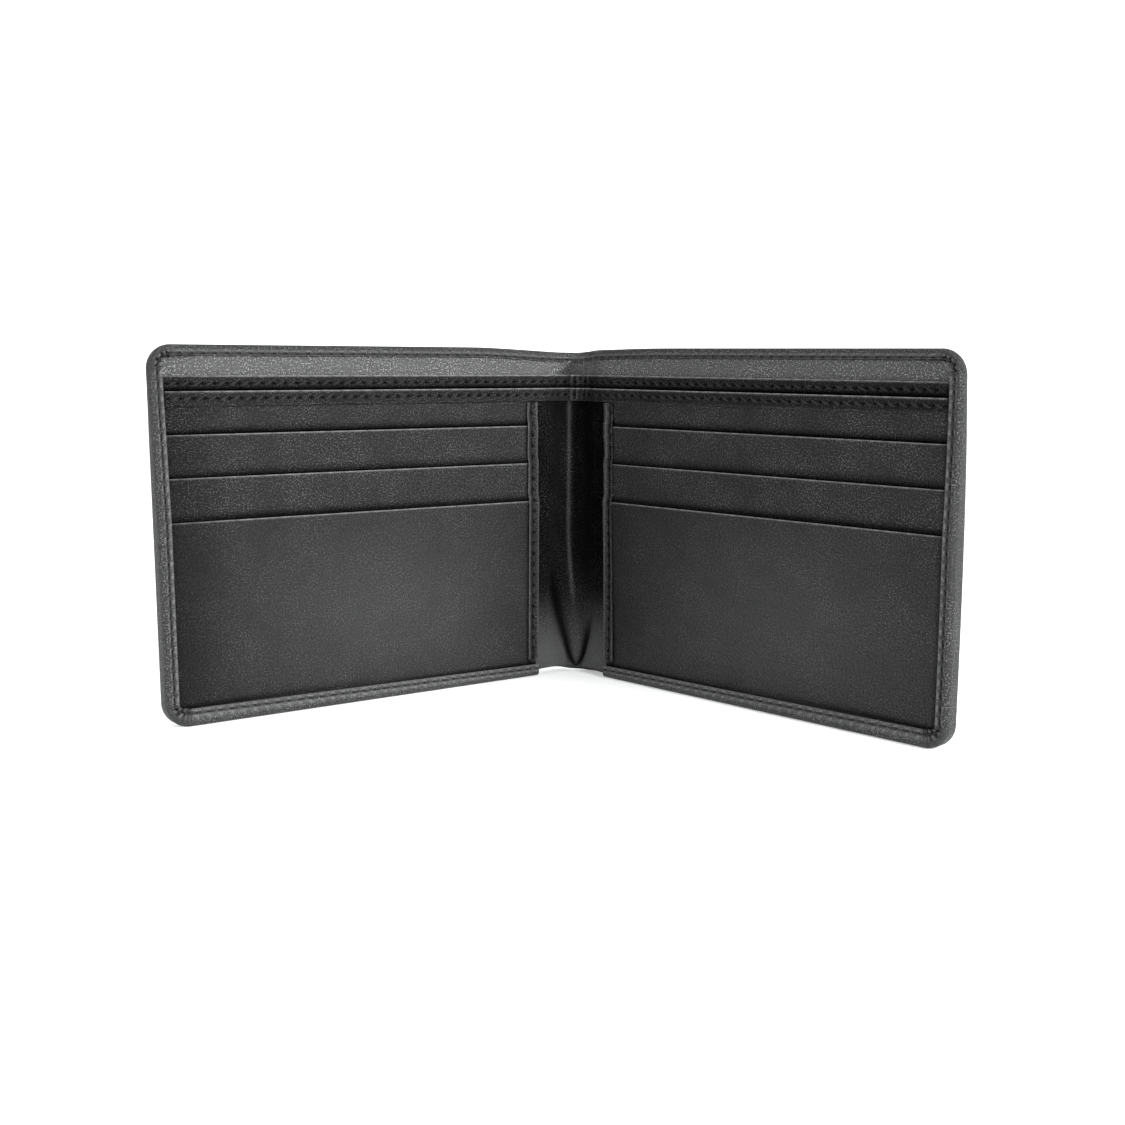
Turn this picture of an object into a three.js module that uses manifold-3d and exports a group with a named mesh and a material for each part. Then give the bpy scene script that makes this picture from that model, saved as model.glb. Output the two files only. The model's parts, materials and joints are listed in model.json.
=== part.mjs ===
// A bifold leather wallet, standing half open on its lower edges.
//
// Units are millimetres and +Z is up. The spine runs along Z at the back and both leaves come forward,
// towards -Y, so the card pockets face -Y. The origin is at the middle of the footprint, on the surface
// that the wallet stands on.
//
// A leaf is drawn in its own flat frame: x is the distance from its fold, z is the height, and the depth
// counts from 0 on the outside of the cover towards the card pockets. Every sheet is a thin prism between
// two depths. The left leaf is the mirror image of the right one.

import * as THREE from "three";
import { mergeVertices } from "three/addons/utils/BufferGeometryUtils.js";
import Module from "manifold-3d";

const wasm = await Module();
wasm.setup();

// Driving dimensions
const HEIGHT = 92;
const LEAF_LENGTH = 116; // from a leaf's fold to its outer edge
const CORNER_RADIUS = 6;
const FOLD_ANGLE = THREE.MathUtils.degToRad(39.5); // each leaf, turned forward from lying flat
const FOLD_DEPTH = 0.4; // depth of both fold axes, in the middle of the cover leather
const CLOSED_GAP = 0.6; // between the two turned edges when the wallet is shut
const SEWN_GAP = 0.2; // between layers that lie on each other
const NOTE_GAP = 0.3; // of the empty compartment for banknotes
const HIDDEN_GAP = 0.25; // of the empty compartment between the divider and the inner wall
const FOLD_CLEARANCE = 0.35; // what a layer keeps beyond the corner of a right-angle fold
const SLOT_GAP = 0.3; // of an empty card slot
const THREAD = 0.35;

// Layers, from the outside in
const COVER = { from: 0, thick: 0.8 };
const FACING = { from: innerFace(COVER) + SEWN_GAP, thick: 0.35 };
const LINING = { from: innerFace(COVER) + SEWN_GAP, thick: 0.2 };
const DIVIDER = { from: innerFace(FACING) + NOTE_GAP, thick: 0.3 };
const INNER_WALL = { from: innerFace(DIVIDER) + HIDDEN_GAP, thick: 0.3 };
const BACKING = { from: innerFace(INNER_WALL) + SEWN_GAP, thick: 0.2 };
const TOP_BINDING = { from: innerFace(BACKING) + SEWN_GAP, thick: 0.4 };
const POCKET_1 = { from: innerFace(BACKING) + SLOT_GAP, thick: 0.25 };
const POCKET_2 = { from: innerFace(POCKET_1) + SLOT_GAP, thick: 0.25 };
const POCKET_3 = { from: innerFace(POCKET_2) + SLOT_GAP, thick: 0.35 };
const EDGE_LEATHER = 0.6; // the cover's leather where it is turned over the edges
const LEAF_DEPTH = innerFace(POCKET_3) + SEWN_GAP + EDGE_LEATHER;
const EDGE_TOP_DEPTH = 3; // the leaf thins above the front pocket, to this at its top
const BINDING = 0.4;

// Heights
const COVER_RISE = 1.6; // the cover stops short of the table between the turned edges
const COVER_DIP = 1.2; // and its top sinks towards the spine
const DIP_RUN = 40;
const FACING_BOTTOM = 77;
const DIVIDER_TOP = 84.6;
const PANEL_TOP = 81;
const TOP_BINDING_WIDTH = 3.6;
const MOUTH_1 = 70.7;
const MOUTH_2 = 60.4;
const MOUTH_3 = 49.9;
const CARD_DROP = 45; // from a slip pocket's mouth down to the seam a card stands on
const POCKET_STRIP = 18; // the leather at a slip pocket's mouth, with fabric below it
const FACING_SEAM = 1.5; // each from its leather's top edge
const DIVIDER_SEAM = 1.9;
const TOP_BINDING_SEAM = 1.8;

// Widths
const PANEL_START = 8.8; // from the fold to the card panel's bound edge
const SIDE_BINDING_WIDTH = 3.4;
const SIDE_TURN = 3.3;
const BOTTOM_TURN = 4.8;
const SIDE_SEAM = 2.1; // each from the leaf's edge
const BOTTOM_SEAM = 3.1;

const SPINE_HALF = LEAF_DEPTH - FOLD_DEPTH + CLOSED_GAP / 2;
const SHEET_INSET = COVER.thick + SEWN_GAP;
const SHEET_END = LEAF_LENGTH - SHEET_INSET;
const SHEET_RADIUS = CORNER_RADIUS - SHEET_INSET;
const POCKET_START = PANEL_START + BINDING + SEWN_GAP;
const SEAM_END = LEAF_LENGTH - SIDE_TURN - SEWN_GAP;
const COVER_START = COVER.thick - FOLD_DEPTH + SEWN_GAP;
const LIFT = 0.05; // between a thread and the leather it lies on

// Both folds lie at this y, so that the footprint's middle is the origin
const LEAF_REACH =
  LEAF_LENGTH * Math.sin(FOLD_ANGLE) +
  (LEAF_DEPTH - FOLD_DEPTH) * Math.cos(FOLD_ANGLE);
const FOLD_Y = (LEAF_REACH - FOLD_DEPTH) / 2;

const CORNER_SEGMENTS = 8;
const PAST = 1; // how far a cutting solid runs past what it cuts
const SAME_POINT = 1e-4; // points of one solid that are nearer than this are joined

const coverLeather = matte(0x4b4f4f, 0.55);
const blackLeather = matte(0x1c1c1c, 0.45);
const liningFabric = matte(0x151515, 0.9);
const greyThread = matte(0x303232, 0.7);
const blackThread = matte(0x0e0e0e, 0.7);

function matte(color, roughness) {
  return new THREE.MeshStandardMaterial({ color, roughness, metalness: 0 });
}

function innerFace(layer) {
  return layer.from + layer.thick;
}

// Where a layer begins on either side of a fold, so that it clears its neighbour at a right angle
function foldStart(layer) {
  return innerFace(layer) - FOLD_DEPTH + FOLD_CLEARANCE;
}

// A layer that lies on another one's inner face
function lyingOn(layer, thick = THREAD, gap = LIFT) {
  return { from: innerFace(layer) + gap, thick };
}

// Outlines in x and z: a leaf's two outer corners are rounded, and towards the fold its top may dip and
// its bottom may be cut away
function leafOutline({ from, to, bottom, top, bottomRadius = 0, topRadius = 0, dip = 0, rise = 0 }) {
  const shape = new THREE.Shape();
  shape.moveTo(from, bottom + rise);
  if (rise > 0) {
    shape.lineTo(PANEL_START, bottom + rise);
    shape.lineTo(PANEL_START, bottom);
  }
  shape.lineTo(to - bottomRadius, bottom);
  if (bottomRadius > 0) {
    shape.absarc(to - bottomRadius, bottom + bottomRadius, bottomRadius, -Math.PI / 2, 0);
  }
  shape.lineTo(to, top - topRadius);
  if (topRadius > 0) {
    shape.absarc(to - topRadius, top - topRadius, topRadius, 0, Math.PI / 2);
  }
  if (dip > 0) {
    shape.lineTo(from + DIP_RUN, top);
  }
  shape.lineTo(from, top - dip);
  shape.closePath();
  return shape;
}

// A flat outline given a layer's depth; the card pockets are on the -Y side
function sheet(outline, layer) {
  const geometry = new THREE.ExtrudeGeometry(outline, {
    depth: layer.thick,
    bevelEnabled: false,
    curveSegments: CORNER_SEGMENTS,
  });
  geometry.rotateX(Math.PI / 2);
  geometry.translate(0, FOLD_DEPTH - layer.from, 0);
  return geometry;
}

function strip(from, to, bottom, top, layer) {
  return sheet(leafOutline({ from, to, bottom, top }), layer);
}

function solidOf(geometry) {
  const bare = geometry.clone();
  bare.deleteAttribute("normal");
  bare.deleteAttribute("uv");
  const merged = mergeVertices(bare, SAME_POINT);
  const mesh = new wasm.Mesh({
    numProp: 3,
    vertProperties: merged.attributes.position.array,
    triVerts: new Uint32Array(merged.index.array),
  });
  return new wasm.Manifold(mesh);
}

function geometryOf(solid) {
  const mesh = solid.getMesh();
  const geometry = new THREE.BufferGeometry();
  geometry.setAttribute("position", new THREE.BufferAttribute(mesh.vertProperties, 3));
  geometry.setIndex(new THREE.BufferAttribute(mesh.triVerts, 1));
  geometry.computeVertexNormals();
  return geometry;
}

function joined(geometries) {
  const solids = geometries.map(solidOf);
  return solids.reduce((whole, piece) => whole.add(piece));
}

function part(name, shape, material) {
  const geometry = shape.isBufferGeometry ? shape : geometryOf(shape);
  const mesh = new THREE.Mesh(geometry, material);
  mesh.name = name;
  return mesh;
}

// A leaf's outline moved inwards, in the card panel's width and at any depth
function insetLeaf({ side, bottom }, from) {
  const through = { from: -PAST, thick: LEAF_DEPTH + 2 * PAST };
  const outline = leafOutline({
    from,
    to: LEAF_LENGTH - side,
    bottom,
    top: HEIGHT - side,
    bottomRadius: CORNER_RADIUS - side,
    topRadius: CORNER_RADIUS - side,
  });
  return solidOf(sheet(outline, through));
}

// The band between two insets from the leaf's outline. It runs along the bottom, up the outer side and
// round the top corner; along the top the wallet is open for banknotes.
function edgeBand(outer, inner) {
  const through = { from: -2 * PAST, thick: LEAF_DEPTH + 4 * PAST };
  const openTop = strip(-PAST, LEAF_LENGTH - CORNER_RADIUS, HEIGHT / 2, HEIGHT + PAST, through);
  return insetLeaf(outer, PANEL_START)
    .subtract(insetLeaf(inner, PANEL_START - PAST))
    .subtract(solidOf(openTop));
}

// A slab under the leaf's tapering inner surface, sunk below it and given its thickness
function taperedSlab(sink, thick) {
  const slope = (LEAF_DEPTH - EDGE_TOP_DEPTH) / (HEIGHT - MOUTH_3);
  const past = HEIGHT + PAST;
  const topDepth = LEAF_DEPTH - slope * (past - MOUTH_3);
  const side = new THREE.Shape();
  side.moveTo(LEAF_DEPTH - sink, -PAST);
  side.lineTo(LEAF_DEPTH - sink, MOUTH_3);
  side.lineTo(topDepth - sink, past);
  side.lineTo(topDepth - sink - thick, past);
  side.lineTo(LEAF_DEPTH - sink - thick, MOUTH_3);
  side.lineTo(LEAF_DEPTH - sink - thick, -PAST);
  side.closePath();
  const geometry = new THREE.ExtrudeGeometry(side, { depth: LEAF_LENGTH, bevelEnabled: false });
  // The side view's depth, z and extrusion become -y, z and x
  const turn = new THREE.Matrix4().makeBasis(
    new THREE.Vector3(0, -1, 0),
    new THREE.Vector3(0, 0, 1),
    new THREE.Vector3(-1, 0, 0),
  );
  geometry.applyMatrix4(turn);
  geometry.translate(LEAF_LENGTH + PAST, FOLD_DEPTH, 0);
  return solidOf(geometry);
}

// The two insets between which the turned edge's stitches run
function edgeSeam(width) {
  return [
    { side: SIDE_SEAM - width / 2, bottom: BOTTOM_SEAM - width / 2 },
    { side: SIDE_SEAM + width / 2, bottom: BOTTOM_SEAM + width / 2 },
  ];
}

// The leather leaf, turned over the ends of all its layers, with a groove for the stitches
function cover() {
  const plate = leafOutline({
    from: COVER_START,
    to: LEAF_LENGTH,
    bottom: 0,
    top: HEIGHT,
    bottomRadius: CORNER_RADIUS,
    topRadius: CORNER_RADIUS,
    dip: COVER_DIP,
    rise: COVER_RISE,
  });
  const edge = { side: 0, bottom: 0 };
  const wall = edgeBand(edge, { side: COVER.thick, bottom: COVER.thick })
    .intersect(taperedSlab(0, LEAF_DEPTH + PAST))
    .intersect(insideOfCover());
  const turned = edgeBand(edge, { side: SIDE_TURN, bottom: BOTTOM_TURN })
    .intersect(taperedSlab(0, EDGE_LEATHER));
  const groove = edgeBand(...edgeSeam(THREAD + 2 * LIFT))
    .intersect(taperedSlab(-PAST, PAST + THREAD));
  return solidOf(sheet(plate, COVER)).add(wall).add(turned).subtract(groove);
}

// Everything from the middle of the cover leather inwards
function insideOfCover() {
  const inward = { from: COVER.thick / 2, thick: LEAF_DEPTH + PAST };
  return solidOf(strip(0, LEAF_LENGTH + PAST, -PAST, HEIGHT + PAST, inward));
}

function edgeThread() {
  return edgeBand(...edgeSeam(THREAD)).intersect(taperedSlab(0, THREAD - LIFT));
}

// The card panel's front, from the bottom up: each pocket's mouth is a step down to the next layer
const STEPS = [
  { bottom: BOTTOM_TURN + SEWN_GAP, top: MOUTH_3, layer: POCKET_3 },
  { bottom: MOUTH_3, top: MOUTH_2, layer: POCKET_2 },
  { bottom: MOUTH_2, top: MOUTH_1, layer: POCKET_1 },
  { bottom: MOUTH_1, top: PANEL_TOP - TOP_BINDING_WIDTH - SEWN_GAP, layer: BACKING },
];

// A strip that follows the steps, lying on each layer and folding back over each mouth
function steppedStrip(from, to, thick, gap) {
  return STEPS.flatMap((step, i) => {
    const front = lyingOn(step.layer, thick, gap);
    const next = STEPS[i + 1];
    const bottom = step.bottom + gap;
    if (!next) {
      return [strip(from, to, bottom, step.top, front)];
    }
    const over = step.top + gap + thick;
    const behind = innerFace(next.layer) + gap;
    const fold = { from: behind, thick: innerFace(front) - behind };
    return [
      strip(from, to, bottom, over, front),
      strip(from, to, step.top + gap, over, fold),
    ];
  });
}

// Leather bound round the card panel's free edge
function sideBinding() {
  const flap = steppedStrip(PANEL_START, PANEL_START + SIDE_BINDING_WIDTH, BINDING, SEWN_GAP);
  const edge = STEPS.map((step) => {
    const over = SEWN_GAP + BINDING;
    const front = innerFace(step.layer) + over;
    const round = { from: BACKING.from, thick: front - BACKING.from };
    const bottom = step.bottom + SEWN_GAP;
    return strip(PANEL_START, PANEL_START + BINDING, bottom, step.top + over, round);
  });
  const all = joined([...flap, ...edge]);
  const above = { from: -PAST, thick: LEAF_DEPTH + 2 * PAST };
  const last = STEPS[STEPS.length - 1];
  return all.subtract(solidOf(strip(0, LEAF_LENGTH, last.top, HEIGHT, above)));
}

function sideBindingThread() {
  const middle = PANEL_START + SIDE_BINDING_WIDTH / 2 + BINDING;
  const gap = SEWN_GAP + BINDING + LIFT;
  return joined(steppedStrip(middle - THREAD / 2, middle + THREAD / 2, THREAD, gap));
}

// A slip pocket: leather at the mouth, fabric below it, and the seam that a card stands on
function slipPocket(name, layer, behind, mouth) {
  const leatherBottom = mouth - POCKET_STRIP;
  const seat = mouth - CARD_DROP;
  const seamDepth = {
    from: innerFace(behind) + LIFT,
    thick: layer.from - innerFace(behind) - 2 * LIFT,
  };
  const fabricTop = leatherBottom - SEWN_GAP;
  const seam = strip(POCKET_START, SHEET_END, seat, seat + THREAD, seamDepth);
  return [
    part(name, strip(POCKET_START, SHEET_END, leatherBottom, mouth, layer), blackLeather),
    part(`${name}_fabric`, strip(POCKET_START, SHEET_END, seat, fabricTop, layer), liningFabric),
    part(`${name}_seam`, seam, blackThread),
  ];
}

// A straight seam that lies on a layer, as far below the given top as the seam is set in
function seam(from, to, top, setIn, layer) {
  const z = top - setIn;
  return strip(from, to, z - THREAD / 2, z + THREAD / 2, lyingOn(layer));
}

// The facing's seam follows its top edge, which dips towards the fold
function facingSeam() {
  const start = foldStart(FACING);
  const z = HEIGHT - SHEET_INSET - FACING_SEAM;
  const line = [
    [start, z - COVER_DIP],
    [start + DIP_RUN, z],
    [SEAM_END, z],
  ];
  const lower = line.map(([x, y]) => new THREE.Vector2(x, y - THREAD / 2));
  const upper = line.map(([x, y]) => new THREE.Vector2(x, y + THREAD / 2));
  return sheet(new THREE.Shape([...lower, ...upper.reverse()]), lyingOn(FACING));
}

// The layers that run on from leaf to leaf: what each one is, and where it ends in height
const RUNNING_LAYERS = [
  {
    name: "cover_top_facing",
    layer: FACING,
    bottom: FACING_BOTTOM,
    top: HEIGHT - SHEET_INSET,
    topRadius: SHEET_RADIUS,
    dip: COVER_DIP,
    material: coverLeather,
  },
  {
    name: "note_lining",
    layer: LINING,
    bottom: COVER_RISE + SEWN_GAP,
    top: FACING_BOTTOM - SEWN_GAP,
    bottomRadius: SHEET_RADIUS,
    material: liningFabric,
  },
  {
    name: "note_divider",
    layer: DIVIDER,
    bottom: COVER_RISE + SEWN_GAP,
    top: DIVIDER_TOP,
    bottomRadius: SHEET_RADIUS,
    material: blackLeather,
  },
  {
    name: "inner_wall",
    layer: INNER_WALL,
    bottom: COVER_RISE,
    top: PANEL_TOP,
    bottomRadius: SHEET_RADIUS,
    material: blackLeather,
  },
];

function leaf(side) {
  const named = (name, shape, material) => part(`${side}_${name}`, shape, material);
  const backing = {
    from: POCKET_START,
    to: SHEET_END,
    bottom: SHEET_INSET,
    top: PANEL_TOP,
    bottomRadius: SHEET_RADIUS,
  };
  const bindingBottom = PANEL_TOP - TOP_BINDING_WIDTH;
  const bindingStart = foldStart(TOP_BINDING);
  const topBinding = strip(bindingStart, SEAM_END, bindingBottom, PANEL_TOP, TOP_BINDING);
  const dividerSeam = seam(foldStart(DIVIDER), SEAM_END, DIVIDER_TOP, DIVIDER_SEAM, DIVIDER);
  const bindingSeam = seam(
    foldStart(lyingOn(TOP_BINDING)), SEAM_END, PANEL_TOP, TOP_BINDING_SEAM, TOP_BINDING,
  );
  const group = new THREE.Group();
  group.add(
    named("cover", cover(), coverLeather),
    ...RUNNING_LAYERS.map(({ name, layer, material, ...heights }) => {
      const outline = leafOutline({ from: foldStart(layer), to: SHEET_END, ...heights });
      return named(name, sheet(outline, layer), material);
    }),
    named("panel_backing", sheet(leafOutline(backing), BACKING), blackLeather),
    ...slipPocket(`${side}_card_pocket_1`, POCKET_1, BACKING, MOUTH_1),
    ...slipPocket(`${side}_card_pocket_2`, POCKET_2, POCKET_1, MOUTH_2),
    named("card_pocket_3", sheet(leafOutline({ ...backing, top: MOUTH_3 }), POCKET_3), blackLeather),
    named("panel_top_binding", topBinding, blackLeather),
    named("panel_side_binding", sideBinding(), blackLeather),
    named("edge_thread", edgeThread(), greyThread),
    named("facing_thread", facingSeam(), greyThread),
    named("divider_thread", dividerSeam, blackThread),
    named("top_binding_thread", bindingSeam, blackThread),
    named("side_binding_thread", sideBindingThread(), blackThread),
  );
  return group;
}

// The strip between the two folds
function spine() {
  const across = (name, layer, start, bottom, top, material) => {
    const half = SPINE_HALF - start;
    return part(`spine_${name}`, strip(-half, half, bottom, top, layer), material);
  };
  const seamAcross = (name, layer, top, setIn, material) => {
    const half = SPINE_HALF - foldStart(lyingOn(layer));
    return part(`spine_${name}`, seam(-half, half, top, setIn, layer), material);
  };
  const facingTop = HEIGHT - SHEET_INSET - COVER_DIP;
  const bindingBottom = PANEL_TOP - TOP_BINDING_WIDTH;
  const bindingStart = foldStart(TOP_BINDING);
  const group = new THREE.Group();
  group.add(
    across("cover", COVER, COVER_START, COVER_RISE, HEIGHT - COVER_DIP, coverLeather),
    ...RUNNING_LAYERS.map(({ name, layer, bottom, top, dip = 0, material }) =>
      across(name, layer, foldStart(layer), bottom, top - dip, material),
    ),
    across("top_binding", TOP_BINDING, bindingStart, bindingBottom, PANEL_TOP, blackLeather),
    seamAcross("facing_thread", FACING, facingTop, FACING_SEAM, greyThread),
    seamAcross("divider_thread", DIVIDER, DIVIDER_TOP, DIVIDER_SEAM, blackThread),
    seamAcross("top_binding_thread", TOP_BINDING, PANEL_TOP, TOP_BINDING_SEAM, blackThread),
  );
  return group;
}

function wallet() {
  const middle = spine();
  middle.position.y = FOLD_Y;

  const right = leaf("right");
  right.position.set(SPINE_HALF, FOLD_Y, 0);
  right.rotation.z = -FOLD_ANGLE;

  const left = leaf("left");
  left.position.set(-SPINE_HALF, FOLD_Y, 0);
  left.rotation.z = FOLD_ANGLE;
  left.scale.x = -1;

  const group = new THREE.Group();
  group.add(middle, left, right);
  return group;
}

export default wallet();
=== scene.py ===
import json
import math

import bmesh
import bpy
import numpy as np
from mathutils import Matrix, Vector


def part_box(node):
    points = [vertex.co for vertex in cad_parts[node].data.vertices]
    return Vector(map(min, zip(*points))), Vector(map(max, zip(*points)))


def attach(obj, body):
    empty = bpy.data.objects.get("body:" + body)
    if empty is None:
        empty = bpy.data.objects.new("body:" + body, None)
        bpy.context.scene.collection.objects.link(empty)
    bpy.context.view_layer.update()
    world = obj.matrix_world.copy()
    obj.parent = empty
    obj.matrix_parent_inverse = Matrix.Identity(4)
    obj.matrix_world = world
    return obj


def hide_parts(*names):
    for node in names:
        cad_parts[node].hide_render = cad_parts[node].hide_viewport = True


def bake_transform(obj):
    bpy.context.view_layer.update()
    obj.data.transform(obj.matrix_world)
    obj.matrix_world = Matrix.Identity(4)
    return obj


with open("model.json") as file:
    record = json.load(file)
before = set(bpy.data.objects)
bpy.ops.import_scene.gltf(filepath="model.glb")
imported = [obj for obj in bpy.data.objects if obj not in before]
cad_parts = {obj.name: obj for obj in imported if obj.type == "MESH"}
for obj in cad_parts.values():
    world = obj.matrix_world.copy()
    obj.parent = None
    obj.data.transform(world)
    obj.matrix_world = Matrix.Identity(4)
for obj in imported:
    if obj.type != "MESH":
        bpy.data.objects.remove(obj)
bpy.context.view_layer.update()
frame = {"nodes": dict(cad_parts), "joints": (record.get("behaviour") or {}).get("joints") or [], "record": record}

# A bifold leather wallet, standing half open on its lower edges.
#
# Lengths are in metres. A leaf is modelled in its own flat frame: u runs from its fold to its outer edge,
# z is the height, and d is the depth from the outside of the cover towards the card pockets. The spine is
# the strip of negative u. Each half of the wallet is modelled flat up to the middle of the spine, then
# turned at its fold.

# What the frame says
FOLDS = {joint["child"]: joint for joint in frame["joints"]}
SPINE_HALF = FOLDS["right_leaf"]["pos_m"][0]
FOLD_Y = FOLDS["right_leaf"]["pos_m"][1]
REST_ANGLE = -math.radians(FOLDS["right_leaf"]["range_deg"][0])
FOLD_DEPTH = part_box("spine_cover")[1].y - FOLD_Y
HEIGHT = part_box("right_cover")[1].z
SIDES = {"left": -1, "right": 1}


def leaf_box(node):
    """The lowest and highest (u, z, d) of one of the right leaf's CAD nodes."""
    points = np.array([v.co for v in frame["nodes"]["right_" + node].data.vertices])
    x = points[:, 0] - SPINE_HALF
    y = points[:, 1] - FOLD_Y
    u = x * math.cos(REST_ANGLE) - y * math.sin(REST_ANGLE)
    inward = -(x * math.sin(REST_ANGLE) + y * math.cos(REST_ANGLE))
    flat = np.stack([u, points[:, 2], FOLD_DEPTH + inward], 1)
    return flat.min(0), flat.max(0)


LEAF_LENGTH, _, LEAF_DEPTH = leaf_box("cover")[1]
PANEL_START = leaf_box("panel_side_binding")[0][0]
PANEL_TOP = leaf_box("panel_top_binding")[1][1]
FACING_LOW = leaf_box("cover_top_facing")[0][1]

# The turned edge
CORNER = 0.006
NOSE = 0.0016  # width of the rounding on its back
FRONT_ROUND = 0.0013  # and on its front
EDGE_TOP_DEPTH = 0.003
EDGE_LEATHER = 0.00055
SIDE_TURN = 0.0033
BOTTOM_TURN = 0.0047
NEAR_BOTTOM_TURN = 0.0034  # next to the spine
TOP_TURN = 0.0025
SPINE_TURN = 0.0013
SIDE_SEAM = 0.0021  # each in from the edge
TOP_SEAM = 0.0021
SEAM_TO_HEM = 0.0012  # along the bottom
HEM_DEPTH = 0.0013  # of the cover where only its own hem is turned over
PLEATS = 5  # in each corner's hem
PLEAT_DEPTH = 0.0013

# How far the soft wallet is from straight and upright
BEND = 0.0055  # leather turns over this length on either side of a fold
SPINE_RISE = {"left": 0.0008, "right": 0.0}  # of the cover's bottom edge at each fold
RISE_RUN = 0.004
SPINE_DIP = {"left": (0.0, 0.0012), "right": (0.0006, 0.0006)}  # of its top, short and long
DIP_RUNS = (0.008, 0.035)
LEAN = {"left": (0.0015, 0.0), "right": (0.0032, 0.0032)}  # of a leaf's top, by the fold and outside
LEAN_START = 0.01  # from the fold
LEAN_RUN = 0.08
SPINE_LEAN_RUN = 0.012
SPLAY = {"left": 0.007, "right": 0.0}  # how much longer than its bottom a leaf's top is
BINDING_SLANT = {"left": 0.0, "right": 0.0012}  # how far a bound edge's top is nearer to the fold

# Seams
STITCH = 0.003  # from one stitch to the next
HEM_STITCH = 0.0023  # the length of a stitch
EDGE_STITCH = 0.0019
HEM_THREAD = 0.0002  # radius
EDGE_THREAD = 0.00016
STITCH_LIFT = 0.0001  # of the middle of the thread over the puckered leather

# Painted shade and painted sheen on the leather, between 0 and 1
EDGE_SHADE = {"left": 0.45, "right": 0.0}  # painted shade on the pockets towards the outer edge
FOLD_SHADE = {"left": 0.0, "right": 0.15}  # and towards the fold
HEM_SHADE = {"left": 0.3, "right": 0.45}  # painted shade on the stitched hems
FRONT_SHEEN = 0.075  # painted sheen of the front pocket, centred at these distances from the fold
SHEEN_CENTRES = {"left": 0.056, "right": 0.072}
SHEEN_HEIGHT = 0.024

# The leather's grain, in cells to a millimetre
PEBBLES = 2.3
PORES = 5.29
SPECKS = 2.645
PATCHES = 0.09
GLOSS_PATCHES = 0.5
WRINKLES = 0.2
GRAIN_RELIEF = 0.00028
WRINKLE_RELIEF = 0.0004


def smoothstep(t):
    t = np.clip(t, 0, 1)
    return t * t * (3 - 2 * t)


def ridge(x, width):
    """1 at x = 0, falling to nothing past the width."""
    return np.exp(-((x / width) ** 2))


def mix(a, b, t):
    return a + (b - a) * t


def lean(side, u, z):
    """How far a leaf's top leans in over its pockets."""
    by_fold, outside = LEAN[side]
    amount = mix(by_fold, outside, smoothstep((u - LEAN_START) / LEAN_RUN))
    amount = amount * smoothstep((u + SPINE_HALF) / SPINE_LEAN_RUN)
    return amount * (z / HEIGHT) ** 3


def placed(side, u, z, d):
    """Points of a half of the wallet in the row frame, with its leaf turned to the rest angle."""
    u = u + np.maximum(u, 0) * SPLAY[side] * z / HEIGHT
    inward = d + lean(side, u, z) - FOLD_DEPTH
    turn = REST_ANGLE * smoothstep((u + BEND) / (2 * BEND))
    x = SPINE_HALF + u * np.cos(turn) - inward * np.sin(turn)
    y = FOLD_Y - u * np.sin(turn) - inward * np.cos(turn)
    return np.stack([SIDES[side] * x, y, z + 0 * x], -1)


def drawn_in(side, u, z):
    """The height of a point of the cover, whose edges draw in towards the spine."""
    s = u + SPINE_HALF
    dip = sum(drop * (1 - smoothstep(s / run)) for drop, run in zip(SPINE_DIP[side], DIP_RUNS))
    middle_rise = (SPINE_RISE["left"] + SPINE_RISE["right"]) / 2
    rise = mix(middle_rise, SPINE_RISE[side], smoothstep(s / SPINE_HALF))
    rise = rise * (1 - smoothstep((u - PANEL_START + RISE_RUN) / RISE_RUN))
    return mix(rise, HEIGHT - dip, z / HEIGHT)


# Meshes

JOIN_DISTANCE = 2e-6
ROUNDED_STEPS = np.array([0, 0.08, 0.35])  # places across a rounded edge, as shares of its width


def new_object(name, mesh, material):
    piece = bpy.data.objects.new(name, mesh)
    bpy.context.scene.collection.objects.link(piece)
    mesh.materials.append(material)
    return piece


def finished_mesh(name, points, faces, attributes, sharp=50):
    """A mesh with its coinciding points joined, smooth but for edges over the sharp angle, in degrees."""
    mesh = bpy.data.meshes.new(name)
    mesh.from_pydata(points.reshape(-1, 3).tolist(), [], [f.tolist() for f in faces])
    for key, values in attributes.items():
        kind = "FLOAT_VECTOR" if values.ndim == 2 else "FLOAT"
        layer = mesh.attributes.new(key, kind, "POINT")
        field = "vector" if values.ndim == 2 else "value"
        layer.data.foreach_set(field, values.astype(np.float32).ravel())
    work = bmesh.new()
    work.from_mesh(mesh)
    bmesh.ops.remove_doubles(work, verts=work.verts, dist=JOIN_DISTANCE)
    bmesh.ops.recalc_face_normals(work, faces=work.faces)
    work.to_mesh(mesh)
    work.free()
    mesh.shade_smooth()
    mesh.set_sharp_from_angle(angle=math.radians(sharp))
    return mesh


def cells(index):
    """The four-sided faces of a grid of point numbers."""
    return np.stack([index[:-1, :-1], index[1:, :-1], index[1:, 1:], index[:-1, 1:]], -1).reshape(-1, 4)


def quads(rows, cols, first=0):
    return cells(np.arange(rows * cols).reshape(rows, cols) + first)


def grid_edge(rows, cols):
    """The points round a grid's edge, in order."""
    index = np.arange(rows * cols).reshape(rows, cols)
    return np.concatenate([index[0, :-1], index[:-1, -1], index[-1, :0:-1], index[:0:-1, 0]])


def between(name, front, back, attributes):
    """A closed mesh between two grids of points of one shape."""
    rows, cols = front.shape[:2]
    count = rows * cols
    loop = grid_edge(rows, cols)
    after = np.roll(loop, -1)
    sides = np.stack([loop, after, after + count, loop + count], -1)
    faces = [*quads(rows, cols), *quads(rows, cols, count), *sides]
    points = np.concatenate([front.reshape(-1, 3), back.reshape(-1, 3)])
    doubled = {k: np.concatenate([v, v]) for k, v in attributes.items()}
    return finished_mesh(name, points, faces, doubled)


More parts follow.
